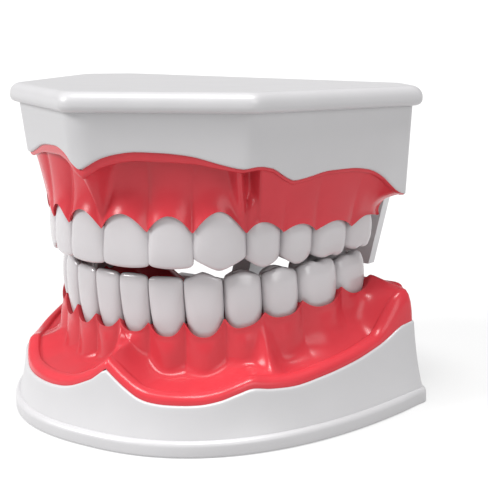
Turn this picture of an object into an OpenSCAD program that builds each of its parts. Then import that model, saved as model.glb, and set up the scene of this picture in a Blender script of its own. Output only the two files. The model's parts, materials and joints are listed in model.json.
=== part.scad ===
// Typodont: a hinged upper and lower jaw with gums and twenty-eight oversize teeth.
// Units are millimetres. +Z is up, -Y is the front of the mouth, +X is the patient's left.
// The origin is on the floor under the centre of the whole model.
// Upper jaw parts are drawn level and then tipped about the hinge axis by rest_angle.

/* [Upper casing] */
// Half width of the upper casing at its widest corners
upper_half_w = 67.2; // [64:0.1:68.5]
// Front point of the upper casing
upper_front_y = -62.8; // [-64:0.1:-58]
// Height of the top face while the jaw is level
upper_top_z = 93.5; // [91:0.5:97]
// Thickness of the top cover and its rounded rim
cover_t = 5.8; // [4:0.1:8]
// Depth of the casing's recess under the rim
rim_overhang = 2.4; // [1:0.1:4]

/* [Lower casing] */
// Half width of the base plate
lower_half_w = 69; // [66:0.5:72]
// Front edge of the base plate
lower_front_y = -60; // [-62:0.5:-58]
// Exponent of the rounded front, where 2 is an ellipse
lower_roundness = 2.4; // [2:0.1:3.5]
// Thickness of the base plate
plate_t = 4.7; // [3:0.1:7]
// Back face of both casings
casing_back_y = 32; // [30:0.5:34]
// Wall thickness of both casings
wall_t = 2.4; // [1.6:0.1:3.2]

/* [Arches and teeth] */
// Half width of the upper arch at the cheek side of the teeth
upper_arch_w = 51.5; // [49:0.5:53]
// Depth of the upper arch, front to widest place
upper_arch_d = 61; // [57:0.5:63]
// Front of the upper arch
upper_arch_y = -46; // [-48:0.5:-44]
// Half width of the lower arch at the cheek side of the teeth
lower_arch_w = 50; // [48:0.5:51]
// Depth of the lower arch, front to widest place
lower_arch_d = 51; // [49:0.5:54]
// Front of the lower arch
lower_arch_y = -40.6; // [-42:0.1:-39]
// Gap between neighbouring crowns
tooth_gap = 0.3; // [0.2:0.05:0.6]
// Share of its place on the arch that a crown fills, as crowns narrow towards the tongue
crown_fill = 0.86; // [0.8:0.01:0.88]
// Radius of the peg that holds a tooth in the gum
peg_r = 2; // [1.5:0.1:2.4]
// Radial clearance of pegs and of the hinge pin
running_gap = 0.06; // [0.03:0.01:0.1]

/* [Hinge] */
// Distance of the hinge axis behind the origin
hinge_y = 52; // [50:0.5:52]
// Height of the hinge axis
hinge_z = 45; // [43:0.5:46]
// Outer radius of the hinge knuckles
knuckle_r = 8; // [7:0.5:8]
// Radius of the hinge pin
pin_r = 3; // [2:0.5:4]
// Angle between the two casings while the molars touch
rest_angle = 4.25; // [3.5:0.05:5]

/* [Hidden] */
$fn = 48;
plate_hang = 12.5;
fit_gap = 0.3;
upper_wall_top = upper_top_z - cover_t;
screw_r = 1.5;
pilot_r = 1.55;
head_r = 2.9;
head_t = 1.8;
boss_r = 4;
hinge_plate_t = 3.5;
hinge_face_y = casing_back_y + hinge_plate_t;
ear_inner_x = 9;
ear_w = 7;
pin_half = ear_inner_x + ear_w + 3;
// Height of the lower casing's back wall and hinge plate, kept low so the mouth is open behind.
lower_back_z = 24.5;
// Outline of the upper hinge plate, across and up. Its lower end closes the back of the mouth.
upper_hinge_outline = [
    [-50, 87], [-50, 70], [-41.5, 36], [41.5, 36], [50, 70], [50, 87]
];
ivory = [0.93, 0.93, 0.93];
shell_white = [0.96, 0.96, 0.97];
gum_red = [0.88, 0.27, 0.32];
steel = [0.72, 0.73, 0.75];

// Edge heights of the scalloped casings against distance from the midline.
upper_scallop = [
    [0, 72.5], [4, 74.5], [9, 76.2], [16, 76.8], [29, 75.9], [37, 73.6], [42, 72.5],
    [45, 73.1], [47, 71.2], [49, 68.3], [51, 69.6], [55, 70.8], [58, 70.1], [61, 67.2],
    [63, 63.4], [70, 62]
];
lower_scallop = [
    [0, 23.2], [3, 21.2], [7, 18], [13, 15.9], [24, 14.8], [30, 14.6], [38, 15.5],
    [43, 17.3], [46, 18.3], [49, 17.4], [53, 17], [57, 18.1], [60.5, 19.8], [63, 22],
    [65, 25.5], [70, 29]
];

// Each tooth: name, width along the arch, depth front to back, biting-edge height,
// shape (0 incisor, 1 canine, 2 premolar, 3 molar).
upper_set = [
    ["central_incisor", 15.2, 9, 42.8, 0],
    ["lateral_incisor", 13.2, 8.5, 43.2, 0],
    ["canine", 15.4, 10, 42.7, 1],
    ["first_premolar", 11.3, 11.5, 43.1, 2],
    ["second_premolar", 11, 11.5, 43.3, 2],
    ["first_molar", 14.6, 13.5, 44, 3],
    ["second_molar", 13.2, 13, 44.8, 3]
];
lower_set = [
    ["central_incisor", 10.3, 7.5, 46.8, 0],
    ["lateral_incisor", 11.1, 8, 46.6, 0],
    ["canine", 11.8, 9, 47.8, 1],
    ["first_premolar", 11.8, 10, 47.2, 2],
    ["second_premolar", 12, 10.5, 47.2, 2],
    ["first_molar", 15.4, 12.5, 47.2, 3],
    ["second_molar", 14.6, 12, 46.4, 3]
];
upper_crown_root_z = 57;
upper_ridge_z = 57.2;
upper_deck_z = 66;
deck_t = 3;
lower_crown_root_z = 31.4;
lower_ridge_z = 31.2;
lower_deck_z = 18;
peg_len = 8;
socket_len = 9;

function unit(v) = v / norm(v);

// A convex outline, listed counter-clockwise, moved inwards by d.
function inset(p, d) = let (n = len(p)) [
    for (i = [0 : n - 1])
        let (u = unit(p[i] - p[(i + n - 1) % n]), v = unit(p[(i + 1) % n] - p[i]),
             nu = [-u[1], u[0]], nv = [-v[1], v[0]])
            p[i] + d / (1 + nu * nv) * (nu + nv)
];

upper_outline = [
    [0, upper_front_y], [46.5, -36.4], [upper_half_w, 18.8], [53.9, casing_back_y],
    [-53.9, casing_back_y], [-upper_half_w, 18.8], [-46.5, -36.4]
];

lower_center_y = 45;
function round_front(t) = let (e = 2 / lower_roundness, s = sin(t), c = cos(t))
    [lower_half_w * sign(s) * pow(abs(s), e),
     lower_center_y - (lower_center_y - lower_front_y) * pow(abs(c), e)];
front_end = 70;
lower_outline = concat(
    [for (i = [-20 : 20]) round_front(front_end * i / 20)],
    [[lower_half_w, 19.6], [lower_half_w - plate_hang, casing_back_y],
     [plate_hang - lower_half_w, casing_back_y], [-lower_half_w, 19.6]]
);

// Point on an arch with half width w, depth d and front y, t degrees round from the front.
function arch_point(w, d, y, t) = [w * sin(t), y + d * (1 - cos(t))];

// Pairs of distance along the arch and angle, for finding where a tooth stands.
arch_steps = 95;
function arch_table(w, d, y) = [
    for (i = 0, s = 0; i <= arch_steps;
         s = s + norm(arch_point(w, d, y, i + 1) - arch_point(w, d, y, i)), i = i + 1)
        [s, i]
];
upper_table = arch_table(upper_arch_w, upper_arch_d, upper_arch_y);
lower_table = arch_table(lower_arch_w, lower_arch_d, lower_arch_y);

function widths_before(set, k) = k == 0 ? 0 : set[k - 1][1] + widths_before(set, k - 1);
function tooth_angle(set, table, k) =
    lookup(widths_before(set, k) + set[k][1] / 2, table);
function arch_heading(w, d, t) = atan2(d * sin(t), w * cos(t));

// Puts a child, drawn with +X along the arch and -Y to the cheek, at tooth k.
module at_tooth(set, table, w, d, y, k, side) {
    t = tooth_angle(set, table, k);
    p = arch_point(w, d, y, t);
    mirror([side < 0 ? 1 : 0, 0, 0])
        translate([p[0], p[1], 0]) rotate([0, 0, arch_heading(w, d, t)]) children();
}

module slice(w, d, shift, z) {
    translate([0, shift, z]) linear_extrude(height = 0.2) scale([w / d, 1]) circle(d = d, $fn = 24);
}

// Crown from its neck at root_z to its biting edge at tip_z, with a peg behind the neck.
module tooth(width, depth, tip_z, shape, root_z) {
    w = width * crown_fill - tooth_gap;
    dir = tip_z > root_z ? 1 : -1;
    belly_z = root_z + (tip_z - root_z) * 0.5;
    tip_d = [2.4, 3.4, 7.5, 9.5][shape];
    tip_w = [0.9, 0.55, 0.7, 0.82][shape] * w;
    tip_shift = [depth * 0.28, depth * 0.32, depth * 0.5, depth * 0.5][shape];
    low = dir > 0 ? 0 : 0.2;
    high = 0.2 - low;
    hull() {
        slice(w * 0.8, depth * 0.8, depth * 0.5, root_z - low);
        slice(w, depth, depth * 0.5, belly_z);
        slice(tip_w, tip_d, tip_shift, tip_z - high);
    }
    translate([0, depth * 0.5, dir > 0 ? root_z - peg_len : root_z - 0.1])
        cylinder(r = peg_r, h = peg_len + 0.1);
}

module socket(depth, root_z, dir) {
    translate([0, depth * 0.5, dir > 0 ? root_z - socket_len : root_z - 1])
        cylinder(r = peg_r + running_gap, h = socket_len + 1);
}

module upper_tooth(k, side) {
    s = upper_set[k];
    color(ivory) tipped()
        at_tooth(upper_set, upper_table, upper_arch_w, upper_arch_d, upper_arch_y, k, side)
            tooth(s[1], s[2], s[3], s[4], upper_crown_root_z);
}

module lower_tooth(k, side) {
    s = lower_set[k];
    color(ivory)
        at_tooth(lower_set, lower_table, lower_arch_w, lower_arch_d, lower_arch_y, k, side)
            tooth(s[1], s[2], s[3], s[4], lower_crown_root_z);
}

// Tips the level upper jaw to where it rests on the lower molars.
module tipped() {
    translate([0, hinge_y, hinge_z]) rotate([-rest_angle, 0, 0])
        translate([0, -hinge_y, -hinge_z]) children();
}

// Flat arch-shaped band reaching out and in from the tooth line, open at the back.
module arch_band(w, d, y, out, in, back) {
    polygon(concat(
        [[w + out, back]],
        [for (i = [9 : -1 : -9]) arch_point(w + out, d + out, y - out, i * 10)],
        [[-w - out, back], [in - w, back]],
        [for (i = [-9 : 9]) arch_point(w - in, d - in, y + in, i * 10)],
        [[w - in, back]]
    ));
}

// Everything below (or above, with up = true) a scalloped edge, as a slab along Y.
module scallop_cut(edge, up, y_from, y_to) {
    far = up ? 60 : 50;
    right = [for (q = edge) q];
    left = [for (i = [len(edge) - 1 : -1 : 1]) [-edge[i][0], edge[i][1]]];
    translate([0, y_to, 0]) rotate([90, 0, 0]) linear_extrude(height = y_to - y_from)
        polygon(concat([[-80, far], [-80, edge[len(edge) - 1][1]]], left, right,
                       [[80, edge[len(edge) - 1][1]], [80, far]]));
}

module shell(outline, gap, z0, z1) {
    translate([0, 0, z0]) linear_extrude(height = z1 - z0) difference() {
        polygon(inset(outline, gap));
        polygon(inset(outline, gap + wall_t));
    }
}

module block(outline, gap, z0, z1) {
    translate([0, 0, z0]) linear_extrude(height = z1 - z0) polygon(inset(outline, gap));
}

cover_screw_places = [[36.8, -32.7], [-36.8, -32.7], [56.5, 13.5], [-56.5, 13.5]];
base_screw_places = [[47.5, -27], [-47.5, -27], [60, 10], [-60, 10]];
upper_hinge_screws = [[34, 83], [-34, 83], [34, 74.5], [-34, 74.5]];
lower_hinge_screws = [[36, 12], [-36, 12], [23, 12], [-23, 12]];

module upper_cover() {
    color(shell_white) tipped() difference() {
        union() {
            block(upper_outline, 1, upper_wall_top, upper_wall_top + 1.01);
            block(upper_outline, 0, upper_wall_top + 1, upper_top_z - 1.5);
            block(upper_outline, 1.4, upper_top_z - 1.51, upper_top_z);
        }
        for (p = cover_screw_places)
            translate([p[0], p[1], upper_wall_top - 1]) cylinder(r = pilot_r, h = 4.5);
    }
}

module upper_case() {
    color(shell_white) tipped() difference() {
        union() {
            difference() {
                shell(upper_outline, rim_overhang, 60, upper_wall_top);
                scallop_cut(upper_scallop, false, -80, 22);
            }
            intersection() {
                for (p = cover_screw_places) translate([p[0], p[1], upper_wall_top - 6])
                    cylinder(r = boss_r, h = 6);
                block(upper_outline, rim_overhang + 0.5, 60, upper_wall_top);
            }
            for (p = upper_hinge_screws)
                translate([p[0], casing_back_y - rim_overhang - 0.5, p[1]])
                    rotate([90, 0, 0]) cylinder(r = boss_r, h = 7);
            translate([-40, casing_back_y - rim_overhang - 0.01, 60]) cube([80, rim_overhang, 27]);
        }
        for (p = cover_screw_places)
            translate([p[0], p[1], upper_wall_top - 8]) cylinder(r = pilot_r, h = 9);
        for (p = upper_hinge_screws)
            translate([p[0], casing_back_y + 1, p[1]]) rotate([90, 0, 0])
                cylinder(r = pilot_r, h = 12);
    }
}

module upper_gum() {
    gap = rim_overhang + wall_t + fit_gap;
    color(gum_red) tipped() difference() {
        union() {
            block(upper_outline, gap, upper_deck_z, upper_deck_z + deck_t);
            intersection() {
                shell(upper_outline, gap, upper_deck_z, upper_wall_top - 8);
                translate([-80, -80, 60]) cube([160, 92, 30]);
            }
            translate([0, 0, upper_ridge_z])
                linear_extrude(height = upper_deck_z - upper_ridge_z + 0.1)
                    arch_band(upper_arch_w, upper_arch_d, upper_arch_y, 2, 14,
                              casing_back_y - gap - 1);
        }
        for (side = [-1, 1]) for (k = [0 : 6])
            at_tooth(upper_set, upper_table, upper_arch_w, upper_arch_d, upper_arch_y, k, side)
                socket(upper_set[k][2], upper_crown_root_z, -1);
    }
}

module lower_base_plate() {
    color(shell_white) difference() {
        union() {
            block(lower_outline, 0.8, 0, 0.81);
            block(lower_outline, 0, 0.8, plate_t - 0.8);
            block(lower_outline, 0.6, plate_t - 0.81, plate_t);
        }
        for (p = base_screw_places) translate([p[0], p[1], -1]) {
            cylinder(r = pilot_r + 0.2, h = plate_t + 2);
            cylinder(r = head_r + 0.3, h = head_t + 1.4);
        }
    }
}

module lower_case() {
    color(shell_white) difference() {
        union() {
            difference() {
                shell(lower_outline, 2, plate_t, 30);
                scallop_cut(lower_scallop, true, -80, 22);
                translate([-80, 25, lower_back_z]) cube([160, 20, 10]);
            }
            intersection() {
                for (p = base_screw_places) translate([p[0], p[1], plate_t])
                    cylinder(r = boss_r, h = 10);
                block(lower_outline, 2.5, plate_t, 16);
            }
            for (p = lower_hinge_screws) translate([p[0], casing_back_y - 2.5, p[1]])
                rotate([90, 0, 0]) cylinder(r = boss_r, h = 7);
            translate([-40, casing_back_y - 2.01, plate_t])
                cube([80, 2, lower_back_z - plate_t]);
        }
        for (p = base_screw_places)
            translate([p[0], p[1], plate_t - 1]) cylinder(r = pilot_r, h = 12);
        for (p = lower_hinge_screws)
            translate([p[0], casing_back_y + 1, p[1]]) rotate([90, 0, 0])
                cylinder(r = pilot_r, h = 12);
    }
}

module lower_gum() {
    gap = 2 + wall_t + fit_gap;
    color(gum_red) difference() {
        union() {
            block(lower_outline, gap, lower_deck_z, lower_deck_z + deck_t);
            intersection() {
                shell(lower_outline, gap, 9, lower_deck_z + 0.1);
                translate([-80, -80, 0]) cube([160, 86, 30]);
            }
            translate([0, 0, lower_deck_z + deck_t - 0.1])
                linear_extrude(height = lower_ridge_z - lower_deck_z - deck_t + 0.1)
                    arch_band(lower_arch_w, lower_arch_d, lower_arch_y, 3, 13,
                              casing_back_y - gap - 1);
        }
        for (side = [-1, 1]) for (k = [0 : 6])
            at_tooth(lower_set, lower_table, lower_arch_w, lower_arch_d, lower_arch_y, k, side)
                socket(lower_set[k][2], lower_crown_root_z, 1);
        for (p = base_screw_places)
            translate([p[0], p[1], plate_t]) cylinder(r = boss_r + fit_gap, h = 11);
        for (p = lower_hinge_screws) translate([p[0], casing_back_y, p[1]])
            rotate([90, 0, 0]) cylinder(r = boss_r + fit_gap, h = 10);
    }
}

// Plate on the back of the casing that carries a knuckle.
module hinge_side(outline_points, x_half) {
    translate([x_half, 0, 0]) rotate([90, 0, -90]) linear_extrude(height = 2 * x_half)
        polygon([for (p = outline_points) [-p[0], p[1]]]);
}

module upper_hinge() {
    lift = (hinge_y - casing_back_y) * sin(rest_angle);
    knuckle_half = ear_inner_x - fit_gap;
    color(shell_white) difference() {
        union() {
            tipped() {
                translate([0, hinge_face_y, 0]) rotate([90, 0, 0])
                    linear_extrude(height = hinge_plate_t)
                        polygon(upper_hinge_outline);
                hinge_side([[hinge_face_y - 1, 50.1], [hinge_face_y - 1, 60],
                            [hinge_y - 3, hinge_z + 7], [hinge_y, hinge_z - 4],
                            [hinge_y - 7, hinge_z - 3], [hinge_face_y + 2, 50.1]],
                           knuckle_half);
            }
            translate([-knuckle_half, hinge_y, hinge_z]) rotate([0, 90, 0])
                cylinder(r = knuckle_r, h = 2 * knuckle_half);
        }
        translate([-50, hinge_y, hinge_z]) rotate([0, 90, 0])
            cylinder(r = pin_r + running_gap, h = 100);
        tipped() for (p = upper_hinge_screws)
            translate([p[0], hinge_face_y + 1, p[1]]) rotate([90, 0, 0])
                cylinder(r = pilot_r + 0.2, h = hinge_plate_t + 2);
    }
}

module lower_hinge() {
    color(shell_white) difference() {
        union() {
            translate([0, hinge_face_y, 0]) rotate([90, 0, 0])
                linear_extrude(height = hinge_plate_t)
                    polygon([[-44, 6], [-38, lower_back_z], [38, lower_back_z], [44, 6]]);
            for (side = [0, 1]) mirror([side, 0, 0]) translate([ear_inner_x, 0, 0]) {
                translate([ear_w, 0, 0]) rotate([90, 0, -90]) linear_extrude(height = ear_w)
                    polygon([for (p = [[hinge_face_y - 1, 7], [hinge_y + 4, hinge_z - 6.5],
                                       [hinge_y - 5, hinge_z + 5],
                                       [hinge_face_y - 1, lower_back_z]])
                                [-p[0], p[1]]]);
                translate([0, hinge_y, hinge_z]) rotate([0, 90, 0])
                    cylinder(r = knuckle_r, h = ear_w);
            }
        }
        translate([-50, hinge_y, hinge_z]) rotate([0, 90, 0])
            cylinder(r = pin_r + running_gap, h = 100);
        for (p = lower_hinge_screws)
            translate([p[0], hinge_face_y + 1, p[1]]) rotate([90, 0, 0])
                cylinder(r = pilot_r + 0.2, h = hinge_plate_t + 2);
        for (p = lower_hinge_screws)
            translate([p[0], hinge_face_y + 12, p[1]]) rotate([90, 0, 0])
                cylinder(r = head_r + 0.4, h = 12);
    }
}

module hinge_pin() {
    color(steel) translate([-pin_half, hinge_y, hinge_z]) rotate([0, 90, 0])
        difference() {
            cylinder(r = pin_r, h = 2 * pin_half);
            for (z = [1, 2 * pin_half - 2]) translate([0, 0, z]) difference() {
                cylinder(r = pin_r + 1, h = 1);
                translate([0, 0, -1]) cylinder(r = pin_r - 0.8, h = 3);
            }
        }
}

module pin_clips() {
    color(steel) for (x = [-pin_half + 1.1, pin_half - 1.9])
        translate([x, hinge_y, hinge_z]) rotate([0, 90, 0]) difference() {
            cylinder(r = pin_r + 2.2, h = 0.8);
            translate([0, 0, -1]) cylinder(r = pin_r - 0.7, h = 3);
            translate([-8, -1.1, -1]) cube([8, 2.2, 3]);
        }
}

// Screw with its head at the origin and its shank running down -Z.
module screw(length) {
    difference() {
        union() {
            cylinder(r = head_r, h = head_t);
            translate([0, 0, -length]) cylinder(r = screw_r, h = length + 0.1);
        }
        for (turn = [0, 90]) rotate([0, 0, turn])
            translate([-head_r * 0.6, -0.35, head_t - 0.8]) cube([head_r * 1.2, 0.7, 2]);
    }
}

module cover_screws() {
    color(steel) tipped() for (p = cover_screw_places)
        translate([p[0], p[1], upper_wall_top - 6]) mirror([0, 0, 1]) screw(9);
}

module base_screws() {
    color(steel) for (p = base_screw_places)
        translate([p[0], p[1], head_t + 0.4]) mirror([0, 0, 1]) screw(10);
}

module upper_hinge_screws() {
    color(steel) tipped() for (p = upper_hinge_screws)
        translate([p[0], hinge_face_y, p[1]]) rotate([-90, 0, 0]) screw(11);
}

module lower_hinge_screws() {
    color(steel) for (p = lower_hinge_screws)
        translate([p[0], hinge_face_y, p[1]]) rotate([-90, 0, 0]) screw(11);
}

// Every node, the single parts first and then the teeth from the midline back.

upper_cover();
upper_case();
upper_gum();
lower_base_plate();
lower_case();
lower_gum();
upper_hinge();
lower_hinge();
hinge_pin();
pin_clips();
cover_screws();
base_screws();
upper_hinge_screws();
lower_hinge_screws();
upper_tooth(0, 1);  // upper_left_central_incisor
upper_tooth(1, 1);  // upper_left_lateral_incisor
upper_tooth(2, 1);  // upper_left_canine
upper_tooth(3, 1);  // upper_left_first_premolar
upper_tooth(4, 1);  // upper_left_second_premolar
upper_tooth(5, 1);  // upper_left_first_molar
upper_tooth(6, 1);  // upper_left_second_molar
upper_tooth(0, -1);  // upper_right_central_incisor
upper_tooth(1, -1);  // upper_right_lateral_incisor
upper_tooth(2, -1);  // upper_right_canine
upper_tooth(3, -1);  // upper_right_first_premolar
upper_tooth(4, -1);  // upper_right_second_premolar
upper_tooth(5, -1);  // upper_right_first_molar
upper_tooth(6, -1);  // upper_right_second_molar
lower_tooth(0, 1);  // lower_left_central_incisor
lower_tooth(1, 1);  // lower_left_lateral_incisor
lower_tooth(2, 1);  // lower_left_canine
lower_tooth(3, 1);  // lower_left_first_premolar
lower_tooth(4, 1);  // lower_left_second_premolar
lower_tooth(5, 1);  // lower_left_first_molar
lower_tooth(6, 1);  // lower_left_second_molar
lower_tooth(0, -1);  // lower_right_central_incisor
lower_tooth(1, -1);  // lower_right_lateral_incisor
lower_tooth(2, -1);  // lower_right_canine
lower_tooth(3, -1);  // lower_right_first_premolar
lower_tooth(4, -1);  // lower_right_second_premolar
lower_tooth(5, -1);  // lower_right_first_molar
lower_tooth(6, -1);  // lower_right_second_molar
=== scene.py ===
"""Typodont: a hinged pair of jaws in white plastic casings, with red gums and white teeth.

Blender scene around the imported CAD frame. Sizes are millimetres until a mesh is made.
+Z is up, -Y is the front of the mouth, +X is the patient's left. Parts of the upper jaw
are drawn level and then tipped about the hinge axis, as they are in the CAD source.
"""

import json
import math

import bmesh
import bpy
import numpy as np
from mathutils import Matrix, Vector


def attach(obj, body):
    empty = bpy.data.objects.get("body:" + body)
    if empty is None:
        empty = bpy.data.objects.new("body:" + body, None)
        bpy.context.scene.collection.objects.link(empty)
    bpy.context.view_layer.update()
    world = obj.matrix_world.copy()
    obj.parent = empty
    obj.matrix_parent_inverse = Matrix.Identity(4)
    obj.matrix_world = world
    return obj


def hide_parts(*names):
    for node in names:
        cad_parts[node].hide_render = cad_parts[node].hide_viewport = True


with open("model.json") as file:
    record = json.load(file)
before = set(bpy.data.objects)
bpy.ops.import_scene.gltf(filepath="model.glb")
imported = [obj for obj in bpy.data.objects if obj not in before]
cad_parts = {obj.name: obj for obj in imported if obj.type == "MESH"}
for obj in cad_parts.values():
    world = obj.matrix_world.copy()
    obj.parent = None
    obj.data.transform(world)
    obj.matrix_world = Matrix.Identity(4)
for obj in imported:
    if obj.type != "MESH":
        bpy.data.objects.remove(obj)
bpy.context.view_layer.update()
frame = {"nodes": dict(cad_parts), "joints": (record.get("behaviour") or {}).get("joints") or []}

MM = 0.001
hinge_spot = frame["joints"][0]["pos_m"]
HINGE_Y = hinge_spot[1] / MM
HINGE_Z = hinge_spot[2] / MM
# Angle between the two casings while the molars touch.
REST_ANGLE = 4.25

# ---------------------------------------------------------------- casing sizes
UPPER_TOP_Z = 93.5
COVER_T = 5.8
UPPER_WALL_TOP = UPPER_TOP_Z - COVER_T
UPPER_WALL_INSET = 2.6
UPPER_WALL_SLOPE = 3.3 / 25.7
PLATE_T = 4.7
LOWER_WALL_INSET = 1.6
LOWER_WALL_FLARE = 4.2
LOWER_FLARE_HEIGHT = 12.0
BACK_Y = 32.0
UPPER_CORNERS = [(0, -62.8), (46.5, -36.4), (67.2, 18.8), (53.9, BACK_Y),
                 (-53.9, BACK_Y), (-67.2, 18.8), (-46.5, -36.4)]
LOWER_HALF_W = 69.0
LOWER_FRONT_Y = -60.0
LOWER_CENTRE_Y = 45.0
LOWER_ROUNDNESS = 2.4
LOWER_SWEEP = 70.0
LOWER_BACK_CORNERS = [(69, 19.6), (56.5, BACK_Y), (-56.5, BACK_Y), (-69, 19.6)]
WALL_T = 1.7
EDGE_BEVEL = 0.6
# Corner radii of the outlines, from the front corner round to the left and back.
RIM_RADII = [5, 5, 3.5, 3, 3, 3.5, 5]
UPPER_WALL_RADII = [9, 6, 3, 2.5, 2.5, 3, 6]
LOWER_BACK_RADII = [2.5, 2.5, 2.5, 2.5]

# Height of each casing's scalloped edge against distance from the midline.
UPPER_EDGE = [(0, 71.3), (3, 73.0), (6, 74.8), (10, 76.1), (15, 76.8), (21, 76.6),
              (28, 75.8), (36, 73.4), (41, 72.3), (43.8, 72.9), (45.3, 72.1),
              (46.4, 69.9), (47.5, 68.2), (49.2, 68.8), (52, 70.2), (55, 70.4),
              (57, 69.7), (59, 67.6), (60.8, 64.0), (62, 62.0), (70, 61.0)]
LOWER_EDGE = [(0, 22.6), (3, 20.7), (7.9, 17.9), (13.5, 15.3), (17, 14.5), (23, 14.0),
              (29, 13.9), (33, 14.0), (37.5, 14.8), (41.6, 16.5), (44.1, 17.4),
              (47.6, 16.6), (51.2, 16.2), (55.4, 17.2), (59, 18.8), (61.1, 20.8),
              (62.6, 23.2), (64, 25.2), (70, 27)]
UPPER_REAR_EDGE_Z = 61.0
LOWER_REAR_EDGE_Z = 25.5
# The bump in the lower edge stands this far to the left, and the shift fades out at its reach.
FRENUM_SHIFT = 6.3
FRENUM_REACH = 34.0

# ---------------------------------------------------------------- teeth
# Name, width along the arch, depth, height of the biting edge, kind of crown.
UPPER_SET = [("central_incisor", 15.2, 9, 42.8, "incisor"),
             ("lateral_incisor", 13.2, 8.5, 43.0, "incisor"),
             ("canine", 15.4, 10, 42.5, "canine"),
             ("first_premolar", 11.3, 11.5, 42.9, "premolar"),
             ("second_premolar", 11, 11.5, 43.0, "premolar"),
             ("first_molar", 14.6, 13.5, 43.9, "molar"),
             ("second_molar", 13.8, 13, 44.7, "molar")]
LOWER_SET = [("central_incisor", 10.3, 7.5, 46.9, "incisor"),
             ("lateral_incisor", 11.1, 8, 46.5, "incisor"),
             ("canine", 11.8, 9, 47.8, "canine"),
             ("first_premolar", 11.8, 10, 47.3, "premolar"),
             ("second_premolar", 12, 10.5, 47.3, "premolar"),
             ("first_molar", 15.4, 12.5, 47.3, "molar"),
             ("second_molar", 15.6, 12, 46.4, "molar")]


def smooth_step(low, high, x):
    """0 at low, 1 at high and smooth between them."""
    share = np.clip((np.asarray(x, float) - low) / (high - low), 0, 1)
    return share * share * (3 - 2 * share)


def smooth_curve(points):
    """A smooth curve through points, flat where they turn back, so it never overshoots."""
    xs, ys = np.array(points, float).T
    rise = np.diff(ys) / np.diff(xs)
    slope = np.zeros(len(xs))
    for i in range(1, len(xs) - 1):
        if rise[i - 1] * rise[i] > 0:
            slope[i] = 2 * rise[i - 1] * rise[i] / (rise[i - 1] + rise[i])
    slope[0], slope[-1] = rise[0], rise[-1]

    def value(x):
        x = np.clip(np.asarray(x, float), xs[0], xs[-1])
        i = np.clip(np.searchsorted(xs, x, side="right") - 1, 0, len(xs) - 2)
        step = xs[i + 1] - xs[i]
        t = (x - xs[i]) / step
        return ((1 + 2 * t) * (1 - t) ** 2 * ys[i] + t * (1 - t) ** 2 * step * slope[i]
                + t * t * (3 - 2 * t) * ys[i + 1] + t * t * (t - 1) * step * slope[i + 1])

    return value


upper_edge_curve = smooth_curve(UPPER_EDGE)
lower_edge_curve = smooth_curve(LOWER_EDGE)


def upper_edge(x, y):
    """Level height of the upper casing's scalloped lower edge."""
    side = upper_edge_curve(np.abs(x))
    return side + (UPPER_REAR_EDGE_Z - side) * smooth_step(16, 20, y)


def lower_edge(x, y):
    """Height of the lower casing's scalloped upper edge."""
    shift = FRENUM_SHIFT * np.clip(1 - np.abs(x) / FRENUM_REACH, 0, 1)
    side = lower_edge_curve(np.abs(x - shift))
    rear = LOWER_REAR_EDGE_Z - smooth_step(23, 26, y)
    return side + (rear - side) * smooth_step(17, 23, y)


def upper_draft(z):
    """How far the upper casing's wall stands in from the rim at level height z."""
    return UPPER_WALL_INSET + UPPER_WALL_SLOPE * (UPPER_WALL_TOP - z)


def lower_draft(z):
    """How far the lower casing's wall stands in from the plate's edge: it flares at the foot."""
    return LOWER_WALL_INSET + LOWER_WALL_FLARE * (1 - np.exp(-(z - PLATE_T) / LOWER_FLARE_HEIGHT))


def tip(points):
    """Tips level upper jaw points about the hinge axis to where the molars touch."""
    points = np.array(points, float)
    angle = math.radians(-REST_ANGLE)
    y = points[:, 1] - HINGE_Y
    z = points[:, 2] - HINGE_Z
    points[:, 1] = HINGE_Y + math.cos(angle) * y - math.sin(angle) * z
    points[:, 2] = HINGE_Z + math.sin(angle) * y + math.cos(angle) * z
    return points


# ---------------------------------------------------------------- outlines
class Outline:
    """A convex outline with rounded corners, whose ring can be moved inwards.
    Past the inset called first, the rear corners move in less, by the share steep_rear."""

    def __init__(self, corners, radii, spacing=2.0, arc_step=8.0, steep_rear=0.0, first=0.0):
        self.corners = np.array(corners, float)
        self.radii = radii
        self.spacing = spacing
        self.arc_step = arc_step
        self.base = self.ring(0.0)
        self.shift = self.ring(1.0) - self.base
        self.first = first
        self.ease = 1 - steep_rear * smooth_step(6, 17, self.base[:, 1])[:, None]

    def ring(self, inset):
        corners = self.corners
        count = len(corners)
        sides = [(corners[(i + 1) % count] - corners[i]) for i in range(count)]
        lengths = [np.linalg.norm(side) for side in sides]
        sides = [side / length for side, length in zip(sides, lengths)]
        arcs = []
        for i in range(count):
            before, after = sides[i - 1], sides[i]
            before_in = np.array([-before[1], before[0]])
            after_in = np.array([-after[1], after[0]])
            bend = math.acos(min(1, max(-1, float(before @ after))))
            mitre = (before_in + after_in) / (1 + before_in @ after_in)
            radius = self.radii[i]
            centre = corners[i] + mitre * (inset + radius)
            if radius == 0:
                arcs.append([centre])
                continue
            steps = max(1, int(math.degrees(bend) / self.arc_step))
            first_angle = math.atan2(-before_in[1], -before_in[0])
            angles = [first_angle + (bend * k / steps) for k in range(steps + 1)]
            arcs.append([centre + radius * np.array([math.cos(angle), math.sin(angle)])
                         for angle in angles])
        points = []
        for i in range(count):
            points.extend(arcs[i])
            start, end = arcs[i][-1], arcs[(i + 1) % count][0]
            pieces = int(lengths[i] / self.spacing)
            points.extend(start + (end - start) * k / pieces for k in range(1, pieces))
        return np.array(points)

    def at(self, inset):
        """The ring moved inwards by inset, which is one number or one for each point."""
        eased = self.first + (np.reshape(inset, (-1, 1)) - self.first) * self.ease
        return self.base + self.shift * eased


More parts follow.
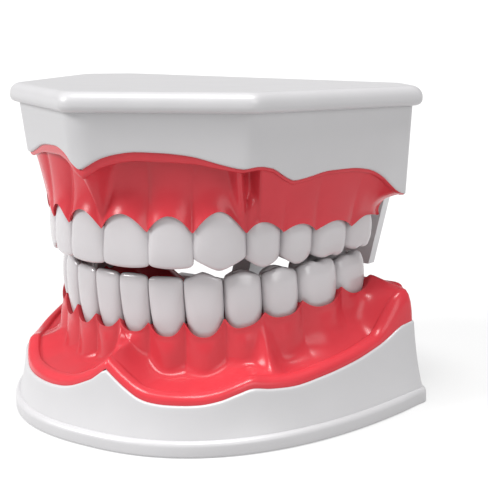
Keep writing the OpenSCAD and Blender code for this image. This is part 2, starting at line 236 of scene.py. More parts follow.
def lower_corners():
    """The base's outline: a rounded front, then the corners at the back."""
    points = []
    steps = 70
    power = 2 / LOWER_ROUNDNESS
    for k in range(-steps, steps + 1):
        angle = math.radians(LOWER_SWEEP * k / steps)
        x = LOWER_HALF_W * math.copysign(abs(math.sin(angle)) ** power, angle)
        y = LOWER_CENTRE_Y - (LOWER_CENTRE_Y - LOWER_FRONT_Y) * math.cos(angle) ** power
        points.append((x, y))
    return points + LOWER_BACK_CORNERS


front_points = lower_corners()
smooth_front = [0] * (len(front_points) - len(LOWER_BACK_RADII))
RIM = Outline(UPPER_CORNERS, RIM_RADII)
UPPER_WALL = Outline(UPPER_CORNERS, UPPER_WALL_RADII, steep_rear=0.6, first=UPPER_WALL_INSET)
LOWER_RING = Outline(front_points, smooth_front + LOWER_BACK_RADII,
                     steep_rear=0.4, first=LOWER_WALL_INSET)


# ---------------------------------------------------------------- mesh making
def make_mesh(name, points, faces, sharp=40.0):
    mesh = bpy.data.meshes.new(name)
    mesh.from_pydata([tuple(p) for p in np.asarray(points) * MM], [], faces)
    tidy = bmesh.new()
    tidy.from_mesh(mesh)
    bmesh.ops.remove_doubles(tidy, verts=tidy.verts, dist=1e-6)
    bmesh.ops.dissolve_degenerate(tidy, edges=tidy.edges, dist=1e-7)
    bmesh.ops.recalc_face_normals(tidy, faces=tidy.faces)
    tidy.to_mesh(mesh)
    tidy.free()
    mesh.shade_smooth()
    mesh.set_sharp_from_angle(angle=math.radians(sharp))
    piece = bpy.data.objects.new(name, mesh)
    bpy.context.scene.collection.objects.link(piece)
    return piece


def dress(piece, material, body, nodes):
    piece.data.materials.clear()
    piece.data.materials.append(material)
    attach(piece, body)
    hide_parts(*nodes)
    return piece


def loft(rings, caps=True):
    """Points and faces of a closed tube through equal rings, with a flat face at each end."""
    count = len(rings[0])
    points = np.concatenate(rings)
    faces = []
    for r in range(len(rings) - 1):
        for i in range(count):
            j = (i + 1) % count
            faces.append((r * count + i, r * count + j, (r + 1) * count + j, (r + 1) * count + i))
    if caps:
        faces.append(tuple(range(count - 1, -1, -1)))
        last = (len(rings) - 1) * count
        faces.append(tuple(range(last, last + count)))
    return points, faces


def level_ring(outline, inset, z):
    ring = outline.at(inset)
    return np.column_stack([ring, np.full(len(ring), float(z))])


def rounded_profile(inset_flat, z_low, z_high, low_radius, high_radius):
    """(inset, height) pairs up the side of a plate with rounded edges."""
    profile = [(inset_flat, z_low)]
    for k in range(7):
        angle = math.radians(90 * k / 6)
        profile.append((low_radius * (1 - math.sin(angle)),
                        z_low + low_radius * (1 - math.cos(angle))))
    for k in range(9):
        angle = math.radians(90 * k / 8)
        profile.append((high_radius * (1 - math.cos(angle)),
                        z_high - high_radius * (1 - math.sin(angle))))
    return profile


# ---------------------------------------------------------------- casings
# Rounds of working out a wall's edge height and inset, which depend on each other.
EDGE_ROUNDS = 6
SPOT_ROUNDS = 4


def build_cover(material):
    profile = rounded_profile(4.2, UPPER_WALL_TOP, UPPER_TOP_Z, 1.9, 3.2)
    profile += [(4.4, UPPER_TOP_Z), (9, UPPER_TOP_Z)]
    rings = [level_ring(RIM, inset, z) for inset, z in profile]
    points, faces = loft(rings)
    piece = make_mesh("cover_shell", tip(points), faces, 50)
    return dress(piece, material, "upper_jaw", ["upper_cover"])


def build_plate(material):
    profile = rounded_profile(3.0, 0.0, PLATE_T, 0.8, 1.5)
    profile += [(2.4, PLATE_T), (8, PLATE_T)]
    rings = [level_ring(LOWER_RING, inset, z) for inset, z in profile]
    points, faces = loft(rings)
    piece = make_mesh("base_plate_shell", points, faces, 50)
    return dress(piece, material, "lower_jaw", ["lower_base_plate"])


def wall_rings(outline, draft, edge, far_z):
    """Rings of a casing wall: outside from far_z to its scalloped edge, and back inside."""
    inset = np.full(len(outline.base), draft(0.5 * (far_z + float(edge(30.0, 0.0)))))
    for _ in range(EDGE_ROUNDS):
        ring = outline.at(inset)
        edge_z = edge(ring[:, 0], ring[:, 1])
        inset = draft(edge_z)
    toward = np.sign(edge_z - far_z)
    rings = []

    def add(extra, z):
        ring = outline.at(draft(z) + extra)
        rings.append(np.column_stack([ring, z]))

    start = np.full(len(edge_z), float(far_z))
    for share in (0.0, 0.12, 0.25, 0.4, 0.55, 0.7, 0.82, 0.92):
        add(0.0, start + (edge_z - toward * EDGE_BEVEL - start) * share)
    for k in range(6):
        angle = math.radians(90 * k / 5)
        add(EDGE_BEVEL * (1 - math.cos(angle)),
            edge_z - toward * EDGE_BEVEL * (1 - math.sin(angle)))
    add(WALL_T - 0.1, edge_z)
    add(WALL_T, edge_z - toward * 0.1)
    add(WALL_T, edge_z - toward * 4)
    add(WALL_T, start)
    rings.append(rings[0].copy())
    return rings


def build_case(name, outline, draft, edge, far_z, material, body, node):
    rings = wall_rings(outline, draft, edge, far_z)
    points, faces = loft(rings, caps=False)
    if body == "upper_jaw":
        points = tip(points)
    piece = make_mesh(name, points, faces, 50)
    return dress(piece, material, body, [node])


# ---------------------------------------------------------------- arches
class Arch:
    """The line along the cheek side of the teeth: half an ellipse, then straight back.
    shift is how far its middle stands to the left."""

    def __init__(self, half_w, depth, front_y, shift):
        self.half_w = half_w
        self.depth = depth
        self.front_y = front_y
        self.shift = shift
        self.angles = np.radians(np.linspace(0, 90, 901))
        line = np.column_stack([half_w * np.sin(self.angles),
                                front_y + depth * (1 - np.cos(self.angles))])
        steps = np.linalg.norm(np.diff(line, axis=0), axis=1)
        self.lengths = np.concatenate([[0], np.cumsum(steps)])
        self.quarter = self.lengths[-1]

    def place(self, station):
        """Point, direction along the arch and direction to the cheek at a station, which is
        the distance along the arch from the midline, positive on the left."""
        side = math.copysign(1, station)
        far = abs(station)
        angle = float(np.interp(far, self.lengths, self.angles))
        x = self.half_w * math.sin(angle)
        y = self.front_y + self.depth * (1 - math.cos(angle)) + max(0.0, far - self.quarter)
        heading = math.atan2(self.depth * math.sin(angle), self.half_w * math.cos(angle))
        along = np.array([side * math.cos(heading), math.sin(heading)])
        out = np.array([side * math.sin(heading), -math.cos(heading)])
        return np.array([self.shift + side * x, y]), along * side, out


UPPER_ARCH = Arch(52.7, 61, -46, -1.3)
LOWER_ARCH = Arch(50.6, 51, -40.6, -0.7)


def centres(tooth_set):
    """Station of each tooth's middle, and half its width."""
    places = []
    start = 0.0
    for tooth in tooth_set:
        width = tooth[1]
        places.append((start + width / 2, width / 2))
        start += width
    return places


# ---------------------------------------------------------------- gums
class Gum:
    """What sets one gum apart from the other. Heights are level.

    up is the way from the casing to the teeth, 1 or -1.
    crest_z and papilla_z are heights of the edge over each tooth and between the teeth.
    lip and lip_in are the height of the lip over the casing's edge and its reach inwards.
    recess is how far the foot of the wall lies behind the lip.
    turn, lean and dish are how sharp the foot is, and how the wall leans out and dips in.
    flush_power is how hollow the wall is where it starts flush with the casing.
    ripple and roll are the size of the bulges over the roots and of the edge at the teeth.
    """

    def __init__(self, **facts):
        self.__dict__.update(facts)
        self.end = self.arch.quarter + self.end_y - (self.arch.front_y + self.arch.depth)
        self.places = centres(self.teeth)
        self.last = sum(self.places[-1])
        middles = [middle for middle, half in self.places]
        depths = [tooth[2] for tooth in self.teeth]
        self.depth_at = smooth_curve([(0, depths[0])] + list(zip(middles, depths))
                                     + [(self.last + 4, depths[-1])])
        contacts = [0.0] + [middle + half for middle, half in self.places]
        self.papilla_at = smooth_curve(list(zip(contacts, self.papilla_z))
                                       + [(self.last + 30, self.papilla_z[-1])])
        self.crest_at = smooth_curve([(0, self.crest_z[0])] + list(zip(middles, self.crest_z))
                                     + [(self.last, self.crest_z[-1]), (self.last + 30, self.rear_z)])

    def across(self, station):
        """Place across its tooth, from -1 to 1, and 0 behind the last tooth."""
        far = abs(station)
        for middle, half in self.places:
            if far <= middle + half:
                return (far - middle) / half
        return 0.0

    def margin(self, station):
        """Height of the gum's edge at the cheek: arched over each tooth, pointed between."""
        far = abs(station)
        crest, papilla = float(self.crest_at(far)), float(self.papilla_at(far))
        if far > self.last:
            share = float(smooth_step(self.last, self.last + 5, far))
            return papilla + (self.rear_z - papilla) * share
        offset = abs(self.across(station))
        return papilla + (crest - papilla) * (1 - offset ** self.arch_power)


def reach(origin, out, ring):
    """Distance from origin along out to a convex ring."""
    start = ring - origin
    end = np.roll(ring, -1, axis=0) - origin
    start_side = start[:, 0] * out[1] - start[:, 1] * out[0]
    end_side = end[:, 0] * out[1] - end[:, 1] * out[0]
    best = 0.0
    for i in np.nonzero((start_side <= 0) != (end_side <= 0))[0]:
        share = start_side[i] / (start_side[i] - end_side[i])
        point = start[i] + (end[i] - start[i]) * share
        best = max(best, float(point @ out))
    return best


def gum_section(gum, station):
    """One section of a gum, from the casing's wall over the ridge to the midline."""
    origin, _, out = gum.arch.place(station)
    inset = gum.draft(gum.mean_edge)
    for _ in range(SPOT_ROUNDS):
        spot = origin + out * reach(origin, out, gum.outline.at(inset))
        edge_z = float(gum.edge(spot[0], spot[1]))
        inset = gum.draft(edge_z)
    rim = reach(origin, out, gum.outline.at(inset + EDGE_BEVEL + 0.15))
    hidden = reach(origin, out, gum.outline.at(inset + WALL_T + 0.05))
    far = abs(station)
    margin_z = gum.margin(station)
    tall = (margin_z - edge_z) * gum.up
    room = min(1.0, rim / 11.0)
    lip = gum.lip(spot)
    lip_in = gum.lip_in * room
    rear = float(smooth_step(gum.last, gum.last + 4, far))
    offset = gum.across(station) if far <= gum.last else 1.0
    has_tooth = 1 - rear
    depth = float(gum.depth_at(far))

    # Lip over the casing's edge: each pair is how far out it is and its height above the edge.
    columns = [(hidden, -4.0), (hidden, 0.02), (rim, 0.02)]
    for k in range(1, 6):
        angle = math.radians(90 * k / 5)
        columns.append((rim - lip_in * (1 - math.cos(angle)) ** 1.3, lip * math.sin(angle)))
    shelf = rim - lip_in
    columns.append((shelf - 0.4 * room, lip - 0.12))
    # Recess, then the wall up to the margin.
    ripple = math.cos(math.pi * offset) * 0.5 * has_tooth
    start_r, start_h = shelf - 0.8 * room, lip - gum.recess
    foot_r = shelf - 0.6 * room
    margin_r = 0.3 - 0.9 * abs(offset) ** 4 * has_tooth + gum.rear_out * rear
    for k in range(gum.wall_steps + 1):
        climb = (k / gum.wall_steps) ** 1.35
        full = gum.fullness(station, spot, climb)
        turn = (1 - climb) ** gum.turn(spot)
        lean = gum.lean(spot) * (1 - climb) * (1 - turn)
        deep_r = margin_r + (start_r - margin_r) * turn + lean
        deep_r -= gum.dish(spot) * math.sin(math.pi * climb) * has_tooth
        deep_h = start_h + (tall - start_h) * climb
        flush_r = margin_r + (foot_r - margin_r) * (1 - climb) ** gum.flush_power(spot)
        flush_h = lip + 0.1 + (tall - lip - 0.1) * climb
        fade = float(smooth_step(0, 0.35, climb) * smooth_step(1, 0.6, climb))
        wave = gum.ripple * ripple * fade
        roll = gum.roll * math.exp(-((1 - climb) / 0.075) ** 2) * has_tooth
        columns.append((deep_r * (1 - full) + flush_r * full + wave + roll,
                        deep_h * (1 - full) + flush_h * full))
    # Down into the crown, across under it and out at the tongue side.
    under = 1.1 * has_tooth
    inner_tall = tall - gum.tongue_drop * has_tooth * (1 - abs(offset) ** 2)
    columns.append((margin_r - 0.25 + gum.roll * 0.4, tall - 0.1 - 0.1 * has_tooth))
    columns.append((margin_r - 1.3, tall - under))
    columns.append((-0.35 * depth, tall - under))
    columns.append((-0.65 * depth, inner_tall - under))
    columns.append((-depth + 0.6, inner_tall - under))
    columns.append((-depth - 0.1, inner_tall - 0.2))
    columns.append((-depth - 0.8, inner_tall - 0.1 - 0.2 * rear))
    columns.append((-depth - 1.8, inner_tall - 0.9))
    columns.append((-depth - 2.8, inner_tall - 2.6))
    points = []
    for out_by, height in columns:
        spot_xy = origin + out * out_by
        points.append((spot_xy[0], spot_xy[1], edge_z + gum.up * height))
    # Palate or floor of the mouth, to the midline.
    share = far / gum.end
    end_y = gum.front_middle_y + (gum.end_y - gum.front_middle_y) * share ** 1.6
    lead = np.array(points[-1])
    for k in range(1, gum.middle_steps + 1):
        stage = k / gum.middle_steps
        xy = lead[:2] + (np.array([0.0, end_y]) - lead[:2]) * stage
        fall = (1 - stage) ** 2.4 * (1 - 0.25 * stage)
        z = gum.middle_z + (lead[2] - gum.middle_z) * fall
        points.append((xy[0], xy[1], z))
    return np.array(points)


def build_gum(name, gum, material, body, node):
    """One closed skin: sections side by side, a flat back against the casing and two ends."""
    half = gum.sections
    stations = [gum.end * k / half for k in range(-half, half + 1)]
    sections = [gum_section(gum, station) for station in stations]
    columns = len(sections[0])
    points = [p for section in sections for p in section]
    faces = []
    for i in range(len(sections) - 1):
        for j in range(columns - 1):
            first = i * columns + j
            faces.append((first, first + 1, first + columns + 1, first + columns))
    flat = len(points)
    for section in sections:
        points.append((section[0][0], section[0][1], gum.flat_z))
    for i in range(len(sections) - 1):
        faces.append((i * columns, (i + 1) * columns, flat + i + 1, flat + i))
    faces.append(tuple(range(flat, flat + len(sections))))
    last = (len(sections) - 1) * columns
    rear = [flat] + list(range(0, columns))
    rear += list(range(last + columns - 2, last - 1, -1)) + [flat + len(sections) - 1]
    faces.append(tuple(rear))
    points = np.array(points)
    if body == "upper_jaw":
        points = tip(points)
    piece = make_mesh(name, points, faces, 60)
    return dress(piece, material, body, [node])


def bump(x, middle, width):
    """1 at the middle, falling smoothly to nearly 0 at twice the width from it."""
    return math.exp(-((x - middle) / width) ** 2)


def upper_fullness(station, spot, climb):
    """0 in the deep recess beside the midline, 1 where the gum is flush with the casing.
    climb runs from the casing's edge, 0, to the teeth, 1."""
    far = abs(station)
    frenum = 0.95 * bump(far, 0.0, 1.1 + 5.0 * (1 - climb) ** 2.5)
    ridge = (0.9 if station > 0 else 0.3) * bump(far, 40.4 + 2.8 * climb, 2.0)
    hold = 0.0 if station > 0 else 4.0
    back = 0.95 * float(smooth_step(44.2 + hold + 1.5 * climb, 46.8 + hold + 1.5 * climb, far))
    slot_share = 0.9 if station > 0 else 0.4
    low_slot = slot_share * bump(far, 44.8, 2.5) * float(smooth_step(0.45, 0.7, climb))
    return min(1.0, max(frenum, ridge, back, low_slot))


def lower_fullness(station, spot, climb):
    """The same for the lower gum, with a fold from the lip's bump to the left central incisor."""
    rear = float(smooth_step(4, 20, spot[1]))
    ridge = (0.85 if station > 0 else 0.25) * bump(abs(station), 44.5, 1.6 + 1.5 * (1 - climb))
    frenum = 0.92 * bump(station, 4.0 * (1 - climb), 1.0 + 3.2 * (1 - climb) ** 2)
    return min(1.0, max(rear, ridge, frenum))


GUM_FACTS = dict(sections=200, wall_steps=26, middle_steps=12)
UPPER_GUM = Gum(
    arch=UPPER_ARCH, outline=UPPER_WALL, draft=upper_draft, edge=upper_edge, mean_edge=72.0,
    teeth=UPPER_SET, up=-1.0, end_y=21.2, front_middle_y=-24.0,
    flat_z=82.0, middle_z=66.5, rear_z=54.6, rear_out=0.8, arch_power=1.9,
    papilla_z=[53.6, 53.5, 53.4, 53.2, 53.0, 52.6, 52.2, 54.0],
    crest_z=[58.6, 58.5, 59.8, 56.4, 55.2, 55.0, 55.0],
    lip=lambda spot: (2.6 - 1.5 * float(smooth_step(20, 42, abs(spot[0])))
                      - 0.8 * float(smooth_step(8, 16, spot[1]))),
    lip_in=1.5, recess=4.0, ripple=0.3, roll=0.3, tongue_drop=2.0,
    turn=lambda spot: 14.0,
    dish=lambda spot: 1.9 * (1 - float(smooth_step(12, 38, -spot[0]))),
    lean=lambda spot: 1.2 + 2.8 * float(smooth_step(18, 42, -spot[0])),
    flush_power=lambda spot: 1.3 + 1.5 * float(smooth_step(6, 18, spot[1])),
    fullness=upper_fullness, **GUM_FACTS)
LOWER_GUM = Gum(
    arch=LOWER_ARCH, outline=LOWER_RING, draft=lower_draft, edge=lower_edge, mean_edge=18.0,
    teeth=LOWER_SET, up=1.0, end_y=23.4, front_middle_y=-20.0,
    flat_z=9.0, middle_z=21.0, rear_z=35.5, rear_out=0.5, arch_power=2.6,
    papilla_z=[33.0, 33.0, 33.6, 34.6, 35.2, 37.0, 38.0, 38.0],
    crest_z=[30.0, 29.2, 29.1, 31.6, 33.4, 34.2, 34.8],
    lip=lambda spot: 3.0 + 6.8 * float(smooth_step(4, 17, spot[1])),
    lip_in=3.2, recess=0.9, ripple=1.1, roll=0.35, tongue_drop=-1.5,
    turn=lambda spot: (13.0 - 9.0 * float(smooth_step(-34, -8, spot[1])
                                          * smooth_step(0, 10, spot[0]))),
    dish=lambda spot: 0.0,
    lean=lambda spot: 1.6,
    flush_power=lambda spot: 1.3 - 0.5 * float(smooth_step(4, 18, spot[1])),
    fullness=lower_fullness, **GUM_FACTS)


# ---------------------------------------------------------------- crowns
CROWN_POINTS = 44
# Share of a crown's height where its biting edge begins to round over.
ROUND_START = 0.93
# A crown narrows towards the tongue from this share of its depth, and is at least so thin.
TAPER_START = 0.3
THINNEST = 0.5
# A gum hides this much of each crown's neck.
HIDDEN_NECK = 3.0


def crown_shape(kind, upper):
    """Curves up a crown from its neck, 0, to its biting edge, 1: the share of its width, how
    far in its cheek side is, and the share of its depth its tongue side is at."""
    if kind == "molar":
        width = [(0, 0.82), (0.3, 0.95), (0.6, 1.0), (0.85, 0.98), (1, 0.93)]
    elif upper:
        width = [(0, 0.72), (0.15, 0.88), (0.32, 0.985), (0.5, 1.0), (0.85, 0.995), (1, 0.975)]
    else:
        width = [(0, 0.72), (0.12, 0.84), (0.3, 0.95), (0.6, 1.0), (0.88, 0.99), (1, 0.96)]
    if kind in ("incisor", "canine"):
        front = [(0, 1.5), (0.2, 0.6), (0.45, 0.0), (0.75, 0.15), (1, 0.9)]
        back = [(0, 0.9), (0.25, 1.0), (0.5, 0.82), (0.75, 0.55), (1, 0.40)]
    else:
        front = [(0, 1.2), (0.25, 0.4), (0.5, 0.0), (0.8, 0.3), (1, 1.3)]
        back = [(0, 0.9), (0.3, 1.0), (0.65, 1.0), (1, 0.86)]
    return smooth_curve(width), smooth_curve(front), smooth_curve(back)


def top_height(kind, upper, x, y):
    """How far below the highest cusp the biting surface lies.
    x runs from -1 to 1 along the arch, and y from -1 at the cheek to 1 at the tongue."""
    if kind == "incisor":
        return (0.45 if upper else 0.12) * x * x + 0.5 * max(0.0, y) ** 2
    if kind == "canine":
        return (3.0 if upper else 1.5) * abs(x) ** 1.35 + 0.8 * max(0.0, y) ** 2
    if kind == "premolar":
        peak = (2.1 if upper else 1.1) * abs(x) ** 1.5
        groove = 1.9 * math.exp(-((y - 0.05) / 0.3) ** 2) * (1 - 0.6 * x * x)
        return peak + groove + 0.5 * float(smooth_step(0.2, 0.8, y))
    ridge = 0.9 * math.exp(-((x - 0.05) / 0.22) ** 2) + 0.9 * abs(x) ** 6
    groove = 1.7 * math.exp(-(y / 0.28) ** 2) * (1 - 0.5 * x * x)
    return ridge + groove


def crown_points(tooth, root_z, upper):
    """Rings of one crown about its own middle: x along the arch, y from the cheek side in.
    They run up the sides, over the rounded edge and in across the biting surface."""
    _, width, depth, tip_z, kind = tooth
    gap = -0.05 if upper else 0.18
    half = width / 2 - gap
    if kind in ("incisor", "canine"):
        taper, square, round_h, corner = 0.42, 2.8, 1.5, 1.9
    else:
        taper, square, round_h, corner = 0.3, 3.0, 1.7, 1.6
    wide, front, back = crown_shape(kind, upper)
    up = 1.0 if tip_z > root_z else -1.0
    height = abs(tip_z - root_z)
    angles = [2 * math.pi * (k + 0.5) / CROWN_POINTS for k in range(CROWN_POINTS)]

    def ring(share, shrink, rise):
        """share is the height used for the section, shrink what is taken off it, and rise
        the rule for the height of its points."""
        half_x = half * float(wide(share)) - shrink * corner
        cheek = float(front(share)) + shrink * 0.9
        tongue = depth * float(back(share)) - shrink * 0.9
        middle = (cheek + tongue) / 2
        half_y = max(THINNEST, tongue - cheek) / 2
        points = []
        for angle in angles:
            cosine, sine = math.cos(angle), math.sin(angle)
            x = math.copysign(abs(cosine) ** (2 / square), cosine)
            y = math.copysign(abs(sine) ** (2 / square), sine)
            inward = (middle + half_y * y) / depth
            narrowed = half_x * (1 - taper * max(0.0, inward - TAPER_START))
            points.append((x * narrowed, middle + half_y * y, rise(x, y)))
        return points

    def side_rise(share):
        return lambda x, y: share * (height - top_height(kind, upper, x, y) - round_h)

    def rounded_rise(angle):
        return lambda x, y: (height - top_height(kind, upper, x, y)
                             - round_h * (1 - math.sin(angle)))

    rings = []
    for k in range(13):
        share = k / 12
        rings.append(ring(share * ROUND_START, 0.0, side_rise(share)))
    for k in range(1, 6):
        angle = math.radians(90 * k / 5)
        rings.append(ring(ROUND_START + (1 - ROUND_START) * k / 5, 1 - math.cos(angle),
                          rounded_rise(angle)))
    edge = np.array(rings[-1])
    middle_xy = edge[:, :2].mean(axis=0)
    reach_x = np.abs(edge[:, 0]).max()
    reach_y = (edge[:, 1].max() - edge[:, 1].min()) / 2
    for scale in (0.75, 0.5, 0.25, 0.02):
        inner = []
        for point in edge:
            x, y = middle_xy + (point[:2] - middle_xy) * scale
            fall = top_height(kind, upper, x / reach_x, (y - middle_xy[1]) / reach_y)
            inner.append((x, y, height - fall))
        rings.append(inner)
    rings = [np.array(one, float) for one in rings]
    for one in rings:
        one[:, 2] = root_z + up * one[:, 2]
    return rings


def build_tooth(name, gum, k, side, material, body, node):
    tooth = gum.teeth[k]
    root_z = gum.crest_z[k] - gum.up * HIDDEN_NECK
    rings = crown_points(tooth, root_z, body == "upper_jaw")
    origin, along, out = gum.arch.place(side * gum.places[k][0])
    placed = []
    for ring in rings:
        xy = origin + np.outer(ring[:, 0], along) - np.outer(ring[:, 1], out)
        placed.append(np.column_stack([xy, ring[:, 2]]))
    points, faces = loft(placed)
    if body == "upper_jaw":
        points = tip(points)
    piece = make_mesh(name, points, faces, 80)
    return dress(piece, material, body, [node])


# ---------------------------------------------------------------- materials
def plastic(name, colour, roughness, mottle=0.03, mottle_scale=90.0, grain=0.02,
            grain_scale=1400.0, gloss_level=0.5, coat=0.0, depth=0.0, depth_colour=(1, 0.5, 0.45)):
    """A moulded plastic: faint uneven colour and gloss, and a fine skin texture."""
    material = bpy.data.materials.new(name)
    material.use_nodes = True
    tree = material.node_tree
    shader = tree.nodes["Principled BSDF"]
    place = tree.nodes.new("ShaderNodeTexCoord")
    cloud = tree.nodes.new("ShaderNodeTexNoise")
    cloud.inputs["Scale"].default_value = mottle_scale
    cloud.inputs["Detail"].default_value = 3
    tree.links.new(place.outputs["Object"], cloud.inputs["Vector"])
    ramp = tree.nodes.new("ShaderNodeValToRGB")
    ramp.color_ramp.elements[0].position = 0.3
    ramp.color_ramp.elements[1].position = 0.7
    ramp.color_ramp.elements[0].color = [c * (1 - mottle) for c in colour] + [1]
    ramp.color_ramp.elements[1].color = [min(1, c * (1 + mottle)) for c in colour] + [1]
    tree.links.new(cloud.outputs["Fac"], ramp.inputs["Fac"])
    tree.links.new(ramp.outputs["Color"], shader.inputs["Base Color"])
    gloss = tree.nodes.new("ShaderNodeMapRange")
    gloss.inputs["To Min"].default_value = roughness * 0.85
    gloss.inputs["To Max"].default_value = roughness * 1.15
    tree.links.new(cloud.outputs["Fac"], gloss.inputs["Value"])
    tree.links.new(gloss.outputs["Result"], shader.inputs["Roughness"])
    skin = tree.nodes.new("ShaderNodeTexNoise")
    skin.inputs["Scale"].default_value = grain_scale
    skin.inputs["Detail"].default_value = 2
    tree.links.new(place.outputs["Object"], skin.inputs["Vector"])
    relief = tree.nodes.new("ShaderNodeBump")
    relief.inputs["Strength"].default_value = grain
    relief.inputs["Distance"].default_value = 0.0002
    tree.links.new(skin.outputs["Fac"], relief.inputs["Height"])
    tree.links.new(relief.outputs["Normal"], shader.inputs["Normal"])
    shader.inputs["Specular IOR Level"].default_value = gloss_level
    shader.inputs["Coat Weight"].default_value = coat
    shader.inputs["Coat Roughness"].default_value = 0.06
    shader.inputs["Subsurface Weight"].default_value = depth
    shader.inputs["Subsurface Radius"].default_value = depth_colour
    shader.inputs["Subsurface Scale"].default_value = 0.002
    return material


def brushed_metal(name, colour, roughness):
    material = bpy.data.materials.new(name)
    material.use_nodes = True
    tree = material.node_tree
    shader = tree.nodes["Principled BSDF"]
    shader.inputs["Metallic"].default_value = 1.0
    place = tree.nodes.new("ShaderNodeTexCoord")
    stretch = tree.nodes.new("ShaderNodeMapping")
    stretch.inputs["Scale"].default_value = (60, 1500, 1500)
    lines = tree.nodes.new("ShaderNodeTexNoise")
    lines.inputs["Scale"].default_value = 1.0
    tree.links.new(place.outputs["Object"], stretch.inputs["Vector"])
    tree.links.new(stretch.outputs["Vector"], lines.inputs["Vector"])
    ramp = tree.nodes.new("ShaderNodeValToRGB")
    ramp.color_ramp.elements[0].color = [c * 0.85 for c in colour] + [1]
    ramp.color_ramp.elements[1].color = [min(1, c * 1.1) for c in colour] + [1]
    tree.links.new(lines.outputs["Fac"], ramp.inputs["Fac"])
    tree.links.new(ramp.outputs["Color"], shader.inputs["Base Color"])
    gloss = tree.nodes.new("ShaderNodeMapRange")
    gloss.inputs["To Min"].default_value = roughness * 0.7
    gloss.inputs["To Max"].default_value = roughness * 1.3
    tree.links.new(lines.outputs["Fac"], gloss.inputs["Value"])
    tree.links.new(gloss.outputs["Result"], shader.inputs["Roughness"])
    return material


CASING = plastic("casing_white_abs", (0.405, 0.40, 0.408), 0.34, mottle=0.012, grain=0.03)
GUM_RED = plastic("gum_red_pvc", (0.46, 0.034, 0.045), 0.25, mottle=0.05, mottle_scale=60,
                  grain=0.015, gloss_level=0.25, coat=0.0, depth=0.12, depth_colour=(1.0, 0.35, 0.3))
TOOTH = plastic("tooth_white_acrylic", (0.43, 0.41, 0.42), 0.22, mottle=0.015, grain=0.01,
                coat=0.15, depth=0.08, depth_colour=(1.0, 0.9, 0.8))
# The hinge is the same white plastic as the casing, painted lighter: painted light for where it sits
# in the shade at the back of the mouth.
HINGE_PLASTIC_PAINTED_LIGHT = plastic("hinge_white_abs_painted_light", (0.56, 0.56, 0.57), 0.38, mottle=0.015, grain=0.05)
STEEL = brushed_metal("zinc_plated_steel", (0.62, 0.62, 0.64), 0.28)

build_cover(CASING)
build_plate(CASING)
build_case("upper_case_shell", UPPER_WALL, upper_draft, upper_edge, UPPER_WALL_TOP + 0.5,
           CASING, "upper_jaw", "upper_case")
build_case("lower_case_shell", LOWER_RING, lower_draft, lower_edge, PLATE_T - 0.3,
           CASING, "lower_jaw", "lower_case")
build_gum("upper_gum_skin", UPPER_GUM, GUM_RED, "upper_jaw", "upper_gum")
build_gum("lower_gum_skin", LOWER_GUM, GUM_RED, "lower_jaw", "lower_gum")
for jaw, gum, body in (("upper", UPPER_GUM, "upper_jaw"), ("lower", LOWER_GUM, "lower_jaw")):
    for side, side_name in ((1, "left"), (-1, "right")):
        for k, tooth in enumerate(gum.teeth):
            node = f"{jaw}_{side_name}_{tooth[0]}"
            build_tooth(node + "_crown", gum, k, side, TOOTH, body, node)

# The hinge parts get the lightened white plastic, painted light over the shade behind the teeth.
for node in ("upper_hinge", "lower_hinge"):
    frame["nodes"][node].data.materials.clear()
    frame["nodes"][node].data.materials.append(HINGE_PLASTIC_PAINTED_LIGHT)
for node in ("hinge_pin", "pin_clips", "cover_screws", "base_screws",
             "upper_hinge_screws", "lower_hinge_screws"):
    frame["nodes"][node].data.materials.clear()
    frame["nodes"][node].data.materials.append(STEEL)


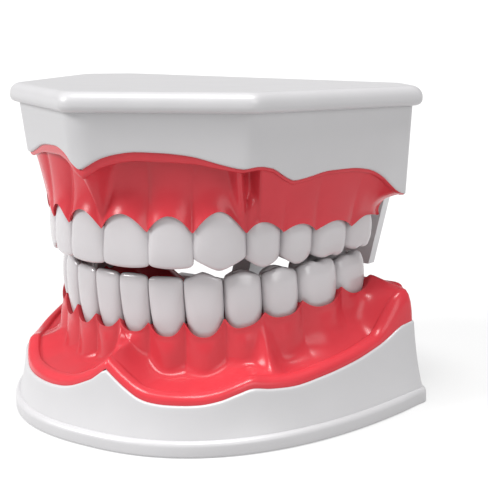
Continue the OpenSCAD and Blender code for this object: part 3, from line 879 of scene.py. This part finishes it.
# ---------------------------------------------------------------- floor, light, camera
def build_floor():
    """A pale floor that curves up into a low backdrop all round."""
    flat, rise, turns = 6.0, 0.5, 64
    profile = [(0.4, 0.0), (1.5, 0.0), (flat, 0.0)]
    for k in range(1, 9):
        angle = math.radians(90 * k / 8)
        profile.append((flat + rise * math.sin(angle), rise * (1 - math.cos(angle))))
    points = [(0.0, 0.0, 0.0)]
    for radius, z in profile:
        for i in range(turns):
            angle = 2 * math.pi * i / turns
            points.append((radius * math.cos(angle), radius * math.sin(angle), z))
    faces = [(0, 1 + i, 1 + (i + 1) % turns) for i in range(turns)]
    for r in range(len(profile) - 1):
        for i in range(turns):
            j = (i + 1) % turns
            inner, outer = 1 + r * turns, 1 + (r + 1) * turns
            faces.append((inner + i, outer + i, outer + j, inner + j))
    mesh = bpy.data.meshes.new("floor")
    mesh.from_pydata(points, [], faces)
    mesh.shade_smooth()
    floor = bpy.data.objects.new("floor", mesh)
    bpy.context.scene.collection.objects.link(floor)
    material = bpy.data.materials.new("pale_floor")
    material.use_nodes = True
    shader = material.node_tree.nodes["Principled BSDF"]
    shader.inputs["Base Color"].default_value = (0.30, 0.30, 0.30, 1)
    shader.inputs["Roughness"].default_value = 0.8
    shader.inputs["Emission Color"].default_value = (1, 1, 1, 1)
    shader.inputs["Emission Strength"].default_value = 0.45
    mesh.materials.append(material)


def add_sun(name, toward, strength, width):
    """A wide soft light a long way off, in the direction toward. width is its angle in degrees."""
    data = bpy.data.lights.new(name, "SUN")
    data.energy = strength
    data.angle = math.radians(width)
    light = bpy.data.objects.new(name, data)
    light.rotation_euler = (-Vector(toward)).to_track_quat("-Z", "Y").to_euler()
    bpy.context.scene.collection.objects.link(light)


def build_world(strength):
    world = bpy.data.worlds.new("studio")
    world.use_nodes = True
    world.node_tree.nodes["Background"].inputs["Color"].default_value = (1, 1, 1, 1)
    world.node_tree.nodes["Background"].inputs["Strength"].default_value = strength
    bpy.context.scene.world = world


CAMERA_SPOT = (0.2515, -0.32005, 0.14317)
CAMERA_YAW = 36.33
CAMERA_PITCH = 13.44
CAMERA_ROLL = -2.61
CAMERA_LENS = 98.10


def build_camera():
    yaw, pitch, roll = (math.radians(v) for v in (CAMERA_YAW, CAMERA_PITCH, CAMERA_ROLL))
    look = Vector((-math.sin(yaw) * math.cos(pitch), math.cos(yaw) * math.cos(pitch),
                   -math.sin(pitch)))
    right = Vector((math.cos(yaw), math.sin(yaw), 0))
    up = right.cross(look)
    x_axis = right * math.cos(roll) + up * math.sin(roll)
    y_axis = up * math.cos(roll) - right * math.sin(roll)
    data = bpy.data.cameras.new("camera")
    data.lens = CAMERA_LENS
    data.sensor_width = 36.0
    data.clip_start = 0.01
    camera = bpy.data.objects.new("camera", data)
    axes = Matrix((x_axis, y_axis, -look)).transposed()
    camera.matrix_world = Matrix.Translation(CAMERA_SPOT) @ axes.to_4x4()
    bpy.context.scene.collection.objects.link(camera)
    bpy.context.scene.camera = camera


build_floor()
build_world(0.28)
add_sun("key", (-0.60, -0.60, 0.56), 2.9, 22)
add_sun("fill", (0.78, -0.42, 0.46), 1.1, 36)
add_sun("top", (0.10, -0.15, 1.0), 3.9, 26)
build_camera()
bpy.context.scene.view_settings.view_transform = "Standard"
